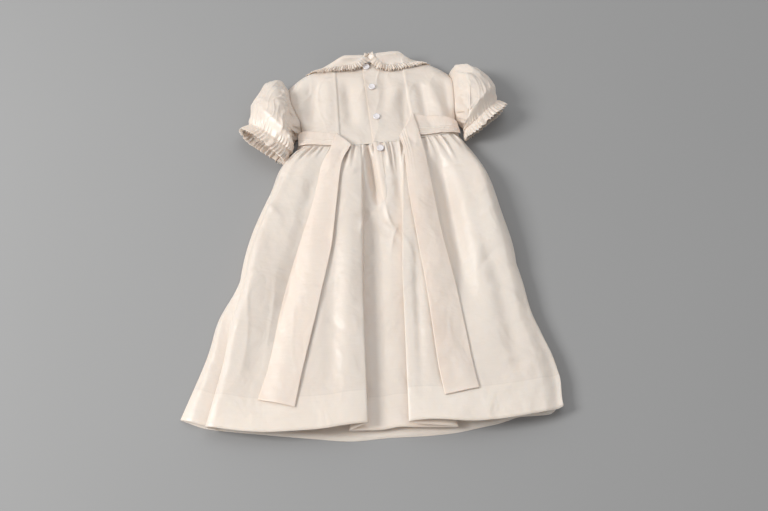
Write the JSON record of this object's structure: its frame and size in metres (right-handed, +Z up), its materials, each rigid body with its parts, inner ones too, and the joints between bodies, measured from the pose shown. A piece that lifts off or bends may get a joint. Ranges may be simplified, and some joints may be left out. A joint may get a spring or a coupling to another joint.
{
  "type": "christening gown",
  "caption": "Short-sleeved child's gown with gathered skirt, frilled round collar, buttoned back and long sash ends, lying flat on its front.",
  "frame": {"origin": "middle of the bounding box, on the surface that the gown lies on", "axes": "+X to the right as seen from above with the hem towards the viewer, +Y from the hem to the neck, +Z up from the surface"},
  "size_m": [0.5292, 0.6786, 0.0555],
  "materials": {
    "ivory_silk": "slubbed silk with a soft sheen",
    "pearl": "pearly"
  },
  "bodies": {
    "root": {"skirt_back": "ivory_silk", "skirt_front": "ivory_silk", "skirt_placket": "ivory_silk", "bodice_front": "ivory_silk", "bodice_back_left": "ivory_silk", "bodice_back_right": "ivory_silk", "sleeve_left": "ivory_silk", "sleeve_right": "ivory_silk", "collar_left": "ivory_silk", "collar_right": "ivory_silk", "collar_frill_left": "ivory_silk", "collar_frill_right": "ivory_silk", "sash_left": "ivory_silk", "sash_right": "ivory_silk", "button_1": "pearl", "button_2": "pearl", "button_3": "pearl", "button_4": "pearl"}
  },
  "joints": []
}
